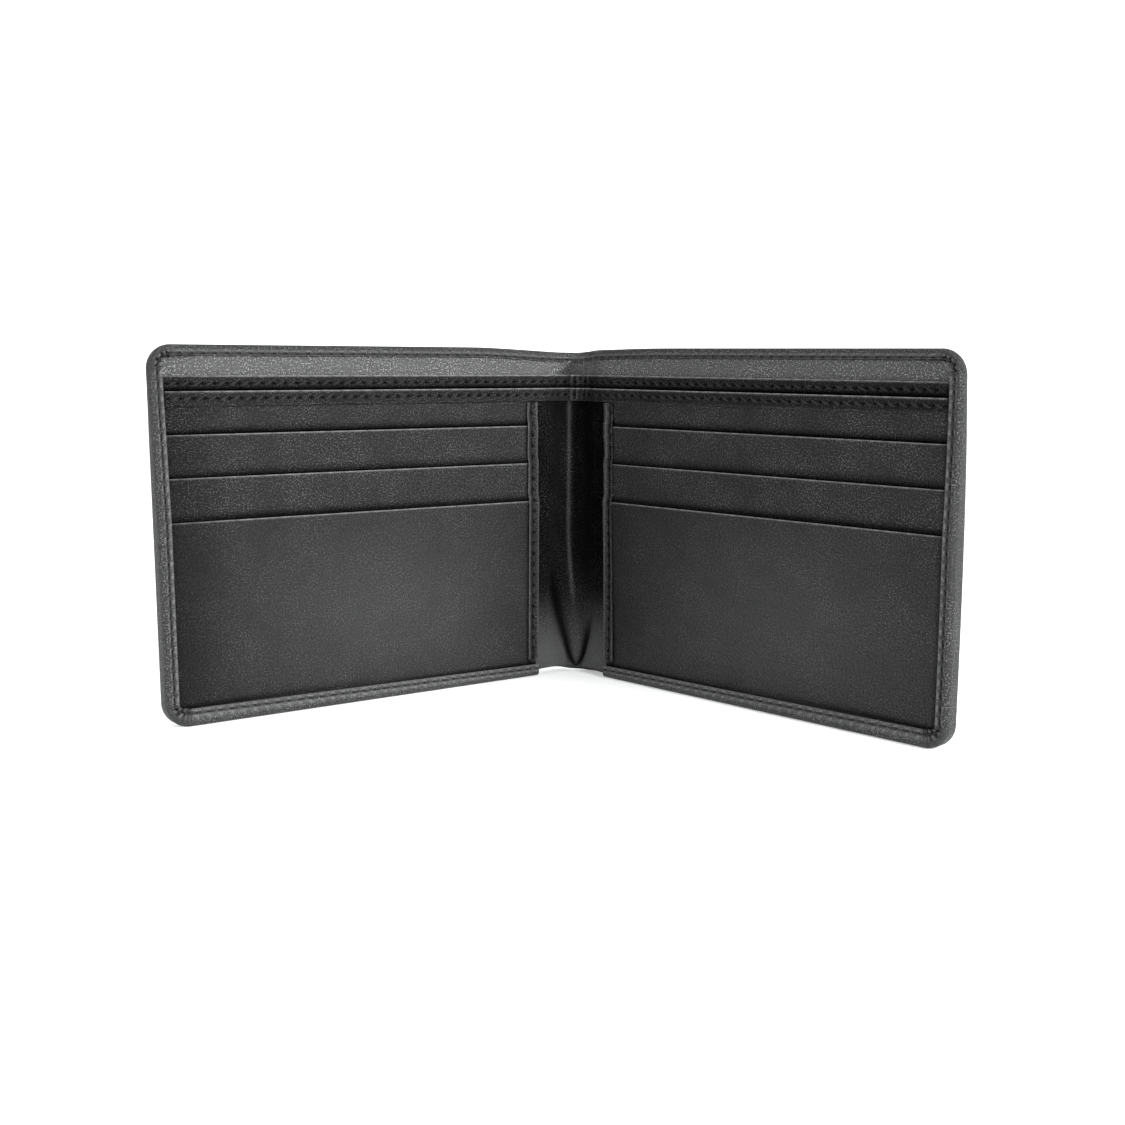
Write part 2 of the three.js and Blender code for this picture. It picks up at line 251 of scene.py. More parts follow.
def spaced(start, end, step, round_start=0, round_end=0):
    """Positions from start to end, closer together where the edge at either end is rounded."""
    count = max(2, int(round((end - start - round_start - round_end) / step)) + 1)
    head = start + ROUNDED_STEPS * round_start if round_start else []
    tail = end - ROUNDED_STEPS[::-1] * round_end if round_end else []
    return np.concatenate([head, np.linspace(start + round_start, end - round_end, count), tail])


def rounding(distance, radius):
    """How far a sheet has reached its full thickness, that far in from its rounded edge."""
    return np.sqrt(1 - (1 - np.clip(distance / radius, 0, 1)) ** 2)


def outer_end(z, end):
    """Where a sheet that reaches to u = end stops, at each height within the leaf's rounded corners."""
    radius = CORNER - (LEAF_LENGTH - end)
    if radius < 0:
        return end + 0 * z
    into_corner = np.maximum(CORNER - np.minimum(z, HEIGHT - z), 0)
    return LEAF_LENGTH - CORNER + np.sqrt(np.maximum(radius**2 - into_corner**2, 0))


def sheet(
    name, side, us, zs, depth, thick, material,
    wear=None, crease=None, radius=None, follows_top=False, slant=0.0,
):
    """A sheet of leather. depth and thick give its inner face's depth and its thickness at each (u, z);
    its edges are rounded, but for one on the spine's centre line, where the other half goes on. The slant
    is how far its top is pushed towards the fold."""
    u, z = np.meshgrid(us, zs)
    lowest, highest = zs[0], zs[-1]
    u = us[0] + (u - us[0]) * (outer_end(z, us[-1]) - us[0]) / (us[-1] - us[0])
    inner = depth(u, z)
    half = (thick(u, z) if callable(thick) else thick + 0 * u) / 2
    edge = np.minimum(np.minimum(z - lowest, highest - z), u[:, -1:] - u)
    if us[0] > -SPINE_HALF + JOIN_DISTANCE:
        edge = np.minimum(edge, u - us[0])
    swell = half * rounding(edge, radius or np.max(half) * 1.2)
    height = drawn_in(side, u, z) if follows_top else z
    u = u - slant * z / HEIGHT
    front = placed(side, u, height, inner - half + swell)
    back = placed(side, u, height, inner - half - swell)
    # Per point: how rubbed and lit the leather is (wear with painted highlights), and how dark (painted shade, and
    # dark seam lines).
    attributes = {
        "flat": np.stack([SIDES[side] * (u + SPINE_HALF), z, 0 * u], -1).reshape(-1, 3),
        "wear": (wear(u, z) if wear else 0 * u).ravel(),
        "crease": (crease(u, z) if crease else 0 * u).ravel(),
    }
    return new_object(name, between(name, front, back, attributes), material)


# Materials


class Nodes:
    """Short calls for building one material's node tree."""

    def __init__(self, name):
        self.material = bpy.data.materials.new(name)
        self.material.use_nodes = True
        self.tree = self.material.node_tree
        self.shader = self.tree.nodes["Principled BSDF"]

    def add(self, kind, inputs=None, **settings):
        node = self.tree.nodes.new(kind)
        for key, value in settings.items():
            setattr(node, key, value)
        for key, value in (inputs or {}).items():
            self.put(node.inputs[key], value)
        return node

    def put(self, socket, value):
        if isinstance(value, bpy.types.NodeSocket):
            self.tree.links.new(value, socket)
        else:
            socket.default_value = value

    def math(self, operation, a, b=0.0):
        node = self.add("ShaderNodeMath", operation=operation)
        self.put(node.inputs[0], a)
        self.put(node.inputs[1], b)
        return node.outputs[0]

    def blend(self, factor, a, b):
        node = self.add("ShaderNodeMix", data_type="RGBA")
        self.put(node.inputs["Factor"], factor)
        self.put(node.inputs["A"], a)
        self.put(node.inputs["B"], b)
        return node.outputs["Result"]

    def spread(self, value, low, high, to_low, to_high):
        node = self.add("ShaderNodeMapRange")
        sizes = {"From Min": low, "From Max": high, "To Min": to_low, "To Max": to_high}
        for key, amount in sizes.items():
            node.inputs[key].default_value = amount
        self.put(node.inputs["Value"], value)
        return node.outputs["Result"]

    def attribute(self, name, output="Fac"):
        return self.add("ShaderNodeAttribute", attribute_name=name).outputs[output]

    def millimetres(self):
        """The point's place in the uncut leather, in millimetres."""
        scale = self.add("ShaderNodeVectorMath", operation="SCALE")
        self.put(scale.inputs[0], self.attribute("flat", "Vector"))
        scale.inputs["Scale"].default_value = 1000
        return scale.outputs[0]

    def noise(self, place, cells_per_mm, detail=2.0, rough=0.5):
        inputs = {"Vector": place, "Scale": cells_per_mm, "Detail": detail, "Roughness": rough}
        return self.add("ShaderNodeTexNoise", inputs).outputs["Fac"]

    def bump(self, height, distance, strength=1.0, below=None):
        inputs = {"Height": height, "Distance": distance, "Strength": strength}
        if below:
            inputs["Normal"] = below
        return self.add("ShaderNodeBump", inputs).outputs["Normal"]

    def finish(self, **inputs):
        for key, value in inputs.items():
            self.put(self.shader.inputs[key.replace("_", " ")], value)
        return self.material


def grey(value, tint=(0.985, 1.0, 0.995)):
    return (value * tint[0], value * tint[1], value * tint[2], 1)


def leather(name, base, speckle, worn_and_lit, rough, sheen):
    """Fine-grained leather: soft mottling, pale specks that are partly painted glints, rubbed places with painted
    highlights, and painted shade in creases and under edges, over pebbles, pores and shallow wrinkles. base,
    speckle and worn are brightnesses."""
    n = Nodes(name)
    place = n.millimetres()
    pores = n.noise(place, PORES, 3.0, 0.65)
    patches = n.noise(place, PATCHES, 3.0, 0.55)
    colour = n.blend(n.spread(patches, 0.3, 0.7, 0.0, 1.0), grey(base * 0.75), grey(base * 1.15))
    # Pale specks, partly standing in for glints of the grain: painted glints.
    specks = n.spread(n.noise(place, SPECKS, 2.0, 0.6), 0.53, 0.65, 0.0, 1.0)
    specks = n.math("MULTIPLY", specks, n.spread(patches, 0.35, 0.65, 1.0, 0.4))
    colour = n.blend(specks, colour, grey(base + speckle))
    # Rubbed and lit places: wear, and painted highlights and sheen, in the worn grey.
    rubbed = n.math("MULTIPLY", n.attribute("wear"), n.spread(pores, 0.35, 0.65, 0.3, 1.0))
    colour = n.blend(rubbed, colour, grey(worn_and_lit))
    # Painted shade: the crease attribute darkens the colour and, further down, takes away the reflection.
    crease = n.attribute("crease")
    colour = n.blend(crease, colour, grey(base * 0.1))
    gloss = n.noise(place, GLOSS_PATCHES, 3.0, 0.6)
    pebbles = n.add("ShaderNodeTexVoronoi", {"Vector": place, "Scale": PEBBLES}, feature="SMOOTH_F1")
    grain = n.math("ADD", pebbles.outputs["Distance"], n.math("MULTIPLY", pores, 0.8))
    wrinkled = n.bump(n.noise(place, WRINKLES, 3.0, 0.6), WRINKLE_RELIEF, 0.6)
    return n.finish(
        Base_Color=colour,
        Roughness=n.spread(gloss, 0.3, 0.7, rough - 0.05, rough + 0.06),
        Normal=n.bump(grain, GRAIN_RELIEF, 1.0, wrinkled),
        Specular_IOR_Level=n.spread(crease, 0, 1, sheen, 0.0),
    )


def thread(name, base):
    """Two-ply thread, whose plies show as slanting bands."""
    n = Nodes(name)
    place = n.millimetres()
    inputs = {"Vector": place, "Scale": 1.1, "Distortion": 0.4, "Detail": 1.0}
    plies = n.add("ShaderNodeTexWave", inputs, wave_type="BANDS", bands_direction="DIAGONAL")
    colour = n.blend(plies.outputs["Fac"], grey(base * 0.5), grey(base * 1.5))
    fuzz = n.noise(place, 9.0, 2.0)
    height = n.math("ADD", plies.outputs["Fac"], n.math("MULTIPLY", fuzz, 0.5))
    return n.finish(
        Base_Color=colour,
        Roughness=n.spread(fuzz, 0.3, 0.7, 0.6, 0.85),
        Normal=n.bump(height, 0.00004),
    )


def lining_cloth(name, base):
    """Thin woven lining: fine warp and weft."""
    n = Nodes(name)
    place = n.millimetres()
    warp = n.add("ShaderNodeTexWave", {"Vector": place, "Scale": 1.1}, bands_direction="X")
    weft = n.add("ShaderNodeTexWave", {"Vector": place, "Scale": 1.1}, bands_direction="Y")
    weave = n.math("MULTIPLY", warp.outputs["Fac"], weft.outputs["Fac"])
    slub = n.noise(place, 0.7, 3.0)
    colour = n.blend(weave, grey(base * 0.5), grey(base * 1.6))
    colour = n.blend(n.spread(slub, 0.4, 0.7, 0.0, 0.4), colour, grey(base * 2))
    return n.finish(Base_Color=colour, Roughness=0.8, Normal=n.bump(weave, 0.00005))


COVER_LEATHER = leather(
    "cover_leather", base=0.02, speckle=0.15, worn_and_lit=0.2, rough=0.44, sheen=0.2
)
FACING_LEATHER = leather(
    "facing_leather", base=0.045, speckle=0.3, worn_and_lit=0.26, rough=0.42, sheen=0.32
)
BLACK_LEATHER = leather(
    "black_leather", base=0.0015, speckle=0.1, worn_and_lit=0.3, rough=0.37, sheen=0.24
)
FRONT_LEATHER = leather(
    "front_leather", base=0.0015, speckle=0.065, worn_and_lit=0.3, rough=0.37, sheen=0.24
)
# A darker, less shiny copy of the black leather: painted shade on the inner wall over the spine.
SHADED_SPINE_LEATHER = leather(
    "spine_leather", base=0.001, speckle=0.08, worn_and_lit=0.15, rough=0.42, sheen=0.07
)
GREY_THREAD = thread("grey_thread", 0.004)
BLACK_THREAD = thread("black_thread", 0.004)
LINING_CLOTH = lining_cloth("lining_fabric", 0.008)
SLOTS = {
    "cover_leather": COVER_LEATHER,
    "black_leather": BLACK_LEATHER,
    "grey_thread": GREY_THREAD,
    "black_thread": BLACK_THREAD,
    "lining_fabric": LINING_CLOTH,
}


def joined_to(piece, side, nodes, crosses_fold):
    """Puts a piece on its leaf's body in place of its CAD nodes; a piece that reaches over the fold into the spine
    is only fixed where it stands.
    """
    if crosses_fold:
        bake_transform(piece)
    else:
        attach(piece, side + "_leaf")
    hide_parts(*nodes)
    return piece


def on_leaf(piece, side, slot, *nodes):
    return joined_to(piece, side, [f"{side}_{n}" for n in nodes], False)


def over_spine(piece, side, slot, *nodes):
    """The same for a piece that runs on over the spine, in place of the spine's CAD nodes as well."""
    names = [f"{body}_{n}" for n in nodes for body in (side, "spine")]
    return joined_to(piece, side, [n for n in names if n in frame["nodes"]], True)


# Seams


def needle_holes(along):
    """1 at each stitch's ends, 0 at its middle."""
    return (0.5 + 0.5 * np.cos(2 * math.pi * along / STITCH)) ** 2


def puckers(along, across, size=0.0003, width=0.0007):
    """How far a seam draws the leather in, most of all at its needle holes."""
    return size * ridge(across, width) * (0.45 + 0.9 * needle_holes(along))


def seam_shade(along, across, width):
    """The dark line of a seam, which is darkest at its needle holes."""
    return ridge(across, width) * (0.4 + 0.6 * needle_holes(along))


def stitch_row(name, side, path, slant, material, length=HEM_STITCH, radius=HEM_THREAD):
    """Separate stitches along path, a list of (u, z, d, direction), each one sunk at both ends."""
    stations = np.linspace(-1, 1, 7)
    around = np.linspace(0, 2 * math.pi, 7)[:-1]
    arch = radius * (0.75 - 2.1 * stations**4)
    girth = radius * np.sqrt(1.02 - stations**6 * 0.9)
    along = stations[:, None] * length / 2 + 0 * around
    across = girth[:, None] * np.cos(around)
    above = arch[:, None] + girth[:, None] * np.sin(around) * 0.8
    index = np.arange(along.size).reshape(along.shape)
    wrapped = np.concatenate([index, index[:, :1]], 1)
    sides = cells(wrapped)
    points, faces, flats = [], [], []
    for count, (u0, z0, d0, direction) in enumerate(path):
        turn = direction + slant
        u = u0 + along * math.cos(turn) - across * math.sin(turn)
        z = z0 + along * math.sin(turn) + across * math.cos(turn)
        points.append(placed(side, u, z, d0 + above).reshape(-1, 3))
        flats.append(np.stack([along + u0, across + z0, 0 * u], -1).reshape(-1, 3))
        first = count * along.size
        faces += [*(sides + first), index[0] + first, index[-1] + first]
    mesh = finished_mesh(name, np.concatenate(points), faces, {"flat": np.concatenate(flats)})
    return new_object(name, mesh, material)


def row_along(end, height, depth):
    """Stitch places at even steps from the spine's centre line, at one height and at depth(u, height)."""
    us = np.arange(STITCH / 2 - SPINE_HALF, end - STITCH / 2, STITCH)
    return [(u, height, float(depth(u, height)) + STITCH_LIFT, 0.0) for u in us]


# Layers: each CAD layer's inner face, with the soft shape that leather takes

LAYERS = (
    "cover_top_facing",
    "note_lining",
    "note_divider",
    "inner_wall",
    "panel_backing",
    "panel_top_binding",
    "card_pocket_1",
    "card_pocket_2",
    "card_pocket_3",
)
LOW = {node: leaf_box(node)[0][1] for node in LAYERS}
TOP = {node: leaf_box(node)[1][1] for node in LAYERS}
DEPTH = {node: leaf_box(node)[1][2] for node in LAYERS}
TOP_BINDING_WIDTH = TOP["panel_top_binding"] - LOW["panel_top_binding"]
MOUTH = {number: TOP[f"card_pocket_{number}"] for number in (1, 2, 3)}
THICK = {
    "cover_top_facing": 0.00035,
    "note_lining": 0.0002,
    "note_divider": 0.0003,
    "inner_wall": 0.0003,
    "panel_backing": 0.0002,
    "panel_top_binding": 0.0004,
}
SINK = {1: 0.00045, 2: 0.0006, 3: 0.0008}  # of each pocket's front in its middle
GAPE = {1: 0.0002, 2: 0.0003, 3: 0.0005}  # of its mouth
BACKING_SINK = 0.0003
SHEET_END = leaf_box("note_divider")[1][0]
SEAM_END = leaf_box("panel_top_binding")[1][0]
POCKET_START = leaf_box("panel_backing")[0][0]
BINDING_END = leaf_box("panel_side_binding")[1][0]
DIVIDER_SEAM = TOP["note_divider"] - 0.0019
BAND_SEAM = PANEL_TOP - 0.0018
HEM_CREASES = (-0.0011, 0.0006, 0.0025, 0.0042)  # where both hems are creased, across the spine
CREASE_HEIGHT = 0.0006
FACING_FOLD = 0.0162  # how far left of the spine's middle the facing's slanting fold starts
FACING_FOLD_SLOPE = 1.18
FACING_V = ((0.0042, 0.12, 0.0005), (0.0034, -0.08, 0.0004))  # its lines' places, slopes and widths
TONGUE = 0.001  # the middle of the tongue at the inner wall's bottom, across the spine
TONGUE_TIP = 0.0022  # and its height
VALLEY_SPREAD = 0.043  # how fast the valleys beside it run apart
LEFT_VALLEY_END = (0.02, 0.022)  # where each starts to fade, and over what height
RIGHT_VALLEY_END = (0.009, 0.012)
WALL_SWELL = 0.0014  # how far the inner wall stands off the spine
CREVICE = 0.0014  # how far up the shadow above a mouth reaches
HIDDEN = 0.0015  # how far down behind the mouth it is drawn


def bottom_turn(u):
    """How high the turned bottom edge is: less next to the spine."""
    return mix(NEAR_BOTTOM_TURN, BOTTOM_TURN, np.clip(u / LEAF_LENGTH, 0, 1))


def hem_depth(side, node, seam_height):
    """A stitched hem that runs on over the spine, where it is creased."""

    def depth(u, z):
        s = u + SPINE_HALF
        x = SIDES[side] * s
        creases = sum(ridge(x - crease, 0.0004) for crease in HEM_CREASES)
        hem = smoothstep((z - seam_height + 0.003) / 0.001)
        return DEPTH[node] + CREASE_HEIGHT * creases * hem - puckers(s, z - seam_height)

    return depth


def hem_wear_and_highlights(side, top):
    """Rubbed, with a painted highlight, along the hem's rolled edge, and painted highlights on its creases over
    the spine.
    """

    def wear(u, z):
        x = SIDES[side] * (u + SPINE_HALF)
        creases = sum(ridge(x - crease, 0.0003) for crease in HEM_CREASES)
        hem = smoothstep((z - top + 0.0035) / 0.0005)
        return np.maximum(mouth_wear_and_highlight(top)(u, z), 0.25 * creases * hem)

    return wear


def facing_slant(x, above):
    """How far right of the facing's slanting fold a point is, that far above the facing's lower edge."""
    return x + FACING_FOLD - FACING_FOLD_SLOPE * above


def facing_depth(side):
    """The facing folds at a slant on the left of the spine and in a small V on its right."""

    def depth(u, z):
        x = SIDES[side] * (u + SPINE_HALF)
        above = z - FACING_LOW
        slant = ridge(facing_slant(x, above), 0.0009)
        v_shape = sum(ridge(x - foot - slope * above, width) for foot, slope, width in FACING_V)
        tilt = -0.0004 * smoothstep(above / (TOP["cover_top_facing"] - FACING_LOW))
        return DEPTH["cover_top_facing"] + 0.0004 * slant + 0.0003 * v_shape + tilt

    return depth


def facing_shade(side):
    """Painted shade on the facing between its slanting fold and the right-hand leaf, and a little on that leaf."""

    def shade(u, z):
        x = SIDES[side] * (u + SPINE_HALF)
        past_fold = smoothstep(facing_slant(x, z - FACING_LOW) / 0.0006)
        between = 0.55 * past_fold * (1 - smoothstep((x + 0.001) / 0.005))
        return np.maximum(between, 0.1 * smoothstep(x / 0.004))

    return shade


def wall_valleys(x, z):
    """1 in the two valleys that run up and apart from a tongue at the inner wall's bottom."""
    up = np.maximum(z - TONGUE_TIP, 0)
    half = VALLEY_SPREAD * np.sqrt(up)
    left = ridge(x - TONGUE + half + 0.1 * np.maximum(up - 0.0065, 0), 0.0008 + 0.1 * up)
    right = ridge(x - TONGUE - half, 0.0008 + 0.05 * up)
    left = left * (1 - smoothstep((z - LEFT_VALLEY_END[0]) / LEFT_VALLEY_END[1]))
    right = right * (1 - smoothstep((z - RIGHT_VALLEY_END[0]) / RIGHT_VALLEY_END[1]))
    return np.maximum(left, right)


def wall_fold(x, z):
    """1 on the soft fold that runs down from the inner wall's top into its tongue."""
    return ridge(x + 0.0017 - 0.0022 * (1 - smoothstep((z - 0.012) / 0.03)), 0.0007)


def wall_depth(side):
    """The inner wall stands off the spine, but in its valleys and where it goes in under the top band."""

    def depth(u, z):
        x = SIDES[side] * (u + SPINE_HALF)
        upper = smoothstep((z - 0.018) / 0.02)
        vee = 0.12 * np.minimum(np.abs(x + 0.0003), 0.006)
        shape = WALL_SWELL * (1 - wall_valleys(x, z)) + upper * (vee + 0.0004 * wall_fold(x, z))
        shape = mix(shape, 0.0003, smoothstep((z - LOW["panel_top_binding"] + 0.005) / 0.005))
        return DEPTH["inner_wall"] + shape * (1 - smoothstep((u - 0.004) / 0.005))

    return depth


def wall_painted_light(side):
    """Painted light on the inner wall: lighter beside its tongue at the bottom, and a painted highlight along its
    fold.
    """

    def wear(u, z):
        x = SIDES[side] * (u + SPINE_HALF)
        low = 1 - smoothstep((z - 0.004) / 0.022)
        outside = smoothstep((np.abs(x - 0.0008) - 0.0022) / 0.002)
        fold = 0.25 * wall_fold(x, z) * smoothstep((z - 0.01) / 0.02)
        return np.maximum(low * mix(0.35, 0.7, outside), fold)

    return wear


def wall_shade(side):
    """Painted shade on the inner wall: dark in its valleys, and darker above them, most of all right of its fold.
    """

    def shade(u, z):
        x = SIDES[side] * (u + SPINE_HALF)
        right = mix(0.5, 0.8, smoothstep((x + 0.001) / 0.0015))
        painted_dark = right * smoothstep((z - 0.008) / 0.03)
        return np.maximum(0.9 * wall_valleys(x, z), painted_dark * (1 - wall_fold(x, z)))

    return shade


def sunk(u):
    """How far the sewn card panel sinks between its bound edge and the turned outer edge."""
    t = (u - BINDING_END) / (SEAM_END - BINDING_END)
    return smoothstep(t / 0.4) * smoothstep((1 - t) / 0.2)


def pocket_depth(node, sink, top, gape):
    """A pocket's front sinks in the middle, swells above the bottom seam, and its mouth stands open."""

    def depth(u, z):
        near_mouth = smoothstep((z - top + 0.016) / 0.016)
        swell = 0.0002 * smoothstep((z - BOTTOM_TURN) / 0.012)
        return DEPTH[node] + sunk(u) * (gape * near_mouth + swell - sink)

    return depth


def mouth_thickness(top, thick):
    """The leather is turned in along a mouth."""
    return lambda u, z: thick + 0.00018 * (1 - smoothstep((top - z - 0.0016) / 0.0004))


def mouth_wear_and_highlight(top):
    """Rubbed grey along a mouth's rolled edge, with a painted highlight there, more in some places than in others.
    """

    def wear(u, z):
        uneven = 0.72 + 0.28 * np.sin(510 * u + 300 * top) * np.sin(1730 * u + 0.7)
        return uneven * (1 - smoothstep((top - z - 0.0001) / 0.0003))

    return wear


def pocket_wear_and_sheen(side, number):
    """The front pocket also gets a painted sheen in its middle, where it bulges most."""

    def wear(u, z):
        worn_and_lit = mouth_wear_and_highlight(MOUTH[number])(u, z)
        # Painted sheen on the front pocket.
        if number == 3:
            across = ridge(u - SHEEN_CENTRES[side], 0.036)
            worn_and_lit = np.maximum(worn_and_lit, FRONT_SHEEN * across * ridge(z - SHEEN_HEIGHT, 0.024))
        return worn_and_lit

    return wear


def hidden_shade(side, u, z):
    """Painted shadow lines where a layer goes in under the turned edge and the bound edge, and painted shade on
    the leather beside them."""
    outer = LEAF_LENGTH - SIDE_TURN - u
    inner = u + BINDING_SLANT[side] * z / HEIGHT - BINDING_END
    on_pockets = z < PANEL_TOP - TOP_BINDING_WIDTH
    lines = 0.9 * np.maximum(ridge(outer, 0.0006), ridge(z - bottom_turn(u), 0.0006))
    lines = np.maximum(lines, 0.7 * ridge(inner, 0.0003) * on_pockets)
    painted_dark = EDGE_SHADE[side] * (1 - smoothstep(outer / 0.02))
    painted_dark = np.maximum(painted_dark, FOLD_SHADE[side] * (1 - smoothstep(inner / 0.025)) * on_pockets)
    return np.maximum(lines, painted_dark)


def shade_above(side, *tops, seam=None):
    """Painted shadow on a layer just above the mouths of what lies on it, and along its own seam a dark line with
    painted shade on its hem.
    """

    def shade(u, z):
        dark = hidden_shade(side, u, z)
        for top in tops:
            crevice = ridge(np.maximum(z - top, 0), CREVICE) * (z > top - HIDDEN)
            dark = np.maximum(dark, crevice)
        if seam:
            # Painted shade on the stitched hem.
            hem = HEM_SHADE[side] * smoothstep((0.0017 - np.abs(z - seam)) / 0.0005)
            dark = np.maximum(dark, np.maximum(hem, seam_shade(u + SPINE_HALF, z - seam, 0.0005)))
        return dark

    return shade


def across_spine(step):
    """Positions from the spine's centre line to the ends of the sheets, finer over the spine."""
    return np.concatenate([
        np.arange(-SPINE_HALF, 0.003, 0.00025),
        spaced(0.003, SHEET_END, step, 0, 0.0003),
    ])


def to_mouth(low, top):
    """Heights from a sheet's bottom to its mouth, finer near the mouth."""
    return np.concatenate([
        spaced(low, top - 0.004, 0.0012, 0.0002, 0)[:-1],
        spaced(top - 0.004, top, 0.0002, 0, 0.0003),
    ])


def facing(side):
    top = TOP["cover_top_facing"] - 0.0002
    piece = sheet(
        f"{side}_facing", side, across_spine(0.0011), spaced(FACING_LOW, top, 0.0006, 0.0002, 0.0002),
        facing_depth(side), THICK["cover_top_facing"], FACING_LEATHER,
        wear=lambda u, z: 0.5 * ridge(z - FACING_LOW, 0.0003), crease=facing_shade(side),
        follows_top=True,
    )
    over_spine(piece, side, "cover_leather", "cover_top_facing")


def lining(side):
    low, top = LOW["note_lining"], TOP["note_lining"]
    piece = sheet(
        f"{side}_lining", side, spaced(-SPINE_HALF, SHEET_END, 0.002, 0, 0.0001),
        spaced(low, top, 0.004, 0.0001, 0.0001),
        lambda u, z: DEPTH["note_lining"] + 0 * u, THICK["note_lining"], LINING_CLOTH,
    )
    over_spine(piece, side, "lining_fabric", "note_lining")


def divider(side):
    top = TOP["note_divider"]
    piece = sheet(
        f"{side}_divider", side, across_spine(STITCH / 6), to_mouth(LOW["note_divider"], top),
        hem_depth(side, "note_divider", DIVIDER_SEAM), mouth_thickness(top, THICK["note_divider"]),
        BLACK_LEATHER,
        wear=hem_wear_and_highlights(side, top), crease=shade_above(side, PANEL_TOP, seam=DIVIDER_SEAM),
    )
    over_spine(piece, side, "black_leather", "note_divider")


def inner_wall(side):
    piece = sheet(
        f"{side}_inner_wall", side, across_spine(0.002),
        spaced(LOW["inner_wall"], PANEL_TOP - 0.0004, 0.0008, 0.0002, 0.0002),
        wall_depth(side), THICK["inner_wall"], SHADED_SPINE_LEATHER,
        wear=wall_painted_light(side), crease=wall_shade(side),
    )
    over_spine(piece, side, "black_leather", "inner_wall")


def top_band(side):
    us = across_spine(STITCH / 6)
    us = np.append(us[us < SEAM_END - 0.0002], SEAM_END)
    piece = sheet(
        f"{side}_top_binding", side, us,
        spaced(LOW["panel_top_binding"], PANEL_TOP, 0.0003, 0.0002, 0.0003),
        hem_depth(side, "panel_top_binding", BAND_SEAM), THICK["panel_top_binding"], BLACK_LEATHER,
        wear=hem_wear_and_highlights(side, PANEL_TOP), crease=shade_above(side, seam=BAND_SEAM),
    )
    over_spine(piece, side, "black_leather", "panel_top_binding", "top_binding")


def card_panel(side):
    us = spaced(POCKET_START, SHEET_END, 0.0012, 0.0003, 0.0003)
    node = "panel_backing"
    piece = sheet(
        f"{side}_panel_backing", side, us, spaced(LOW[node], PANEL_TOP - 0.001, 0.0008, 0.0001, 0.0001),
        pocket_depth(node, BACKING_SINK, PANEL_TOP, 0), THICK[node], BLACK_LEATHER,
        crease=shade_above(side, MOUTH[1]),
    )
    on_leaf(piece, side, "black_leather", node)
    for number, top in MOUTH.items():
        node = f"card_pocket_{number}"
        low, high = leaf_box(node)
        mouths_on_it = [MOUTH[n] for n in MOUTH if n == number + 1]
        piece = sheet(
            f"{side}_pocket_{number}", side, us, to_mouth(LOW[node], top),
            pocket_depth(node, SINK[number], top, GAPE[number]), mouth_thickness(top, high[2] - low[2]),
            FRONT_LEATHER if number == 3 else BLACK_LEATHER,
            wear=pocket_wear_and_sheen(side, number), crease=shade_above(side, *mouths_on_it),
        )
        on_leaf(piece, side, "black_leather", node)


def hem_stitches(side):
    rows = (
        ("divider_stitches", "divider_thread", "note_divider", DIVIDER_SEAM),
        ("band_stitches", "top_binding_thread", "panel_top_binding", BAND_SEAM),
    )
    for name, thread_node, node, seam in rows:
        path = row_along(SEAM_END, seam, hem_depth(side, node, seam))
        row = stitch_row(f"{side}_{name}", side, path, -0.5, BLACK_THREAD)
        over_spine(row, side, "black_thread", thread_node)


# The card panel's bound edge

BINDING_LEATHER = 0.0004
BINDING_GAP = 0.0002  # between the binding and the pockets that it covers


def step_depth(z):
    """The bound edge's face, which steps down with the pockets it covers."""
    depth = DEPTH["card_pocket_3"] + BINDING_LEATHER + BINDING_GAP + 0 * z
    for number, node in ((3, "card_pocket_2"), (2, "card_pocket_1"), (1, "panel_backing")):
        drop = DEPTH[f"card_pocket_{number}"] - DEPTH[node]
        depth = depth - drop * smoothstep((z - MOUTH[number]) / 0.0025)
    return depth


def side_binding(side):
    low, high = leaf_box("panel_side_binding")[0][1], leaf_box("panel_side_binding")[1][1]
    seam = (PANEL_START + BINDING_END) / 2 + 0.0002
    floor = leaf_box("panel_backing")[0][2]

    def depth(u, z):
        outer = 0.00012 * ridge(u - PANEL_START - 0.0009, 0.0007)
        inner = 0.00008 * ridge(u - BINDING_END + 0.0005, 0.0004)
        return step_depth(z) + outer + inner - puckers(z, u - seam, 0.00028)

    def thick(u, z):
        wrap = 1 - smoothstep((u - PANEL_START - 0.0004) / 0.0001)
        return mix(BINDING_LEATHER, step_depth(z) - floor, wrap)

    def wear(u, z):
        # Painted highlights along the binding's folded outer edge and along its inner edge.
        edge_highlight = 0.22 * ridge(u - PANEL_START - 0.0003, 0.0004)
        return edge_highlight + 0.28 * ridge(u - BINDING_END, 0.00025)

    us = np.concatenate([
        spaced(PANEL_START, PANEL_START + 0.0006, 0.0001, 0.0003, 0)[:-1],
        spaced(PANEL_START + 0.0006, BINDING_END, 0.0002, 0, 0.0002),
    ])
    slant = BINDING_SLANT[side]
    binding = sheet(
        f"{side}_side_binding", side, us, spaced(low, high, STITCH / 8, 0.0002, 0.0002), depth, thick,
        BLACK_LEATHER, wear=wear, crease=lambda u, z: seam_shade(z - low - STITCH, u - seam, 0.00045),
        radius=0.0003, slant=slant,
    )
    on_leaf(binding, side, "black_leather", "panel_side_binding")
    heights = np.arange(low + 1.5 * STITCH, high, STITCH)
    path = [
        (seam - slant * z / HEIGHT, z, float(depth(seam, z)) + STITCH_LIFT, math.pi / 2) for z in heights
    ]
    row = stitch_row(f"{side}_side_stitches", side, path, 0.15, BLACK_THREAD)
    on_leaf(row, side, "black_thread", "side_binding_thread")


# The cover: one skin of leather from its back round the edges to the turned hems

CORNER_STEPS = 40
GRID_STEP = STITCH / 4
SKIN_SHARP = 60  # degrees
ROUND_STEPS = 6  # points over each of the turned edge's two roundings
SEAM_STEPS = (-0.0006, -0.0003, -0.00012, 0, 0.00012, 0.0003, 0.0006)  # across the seam


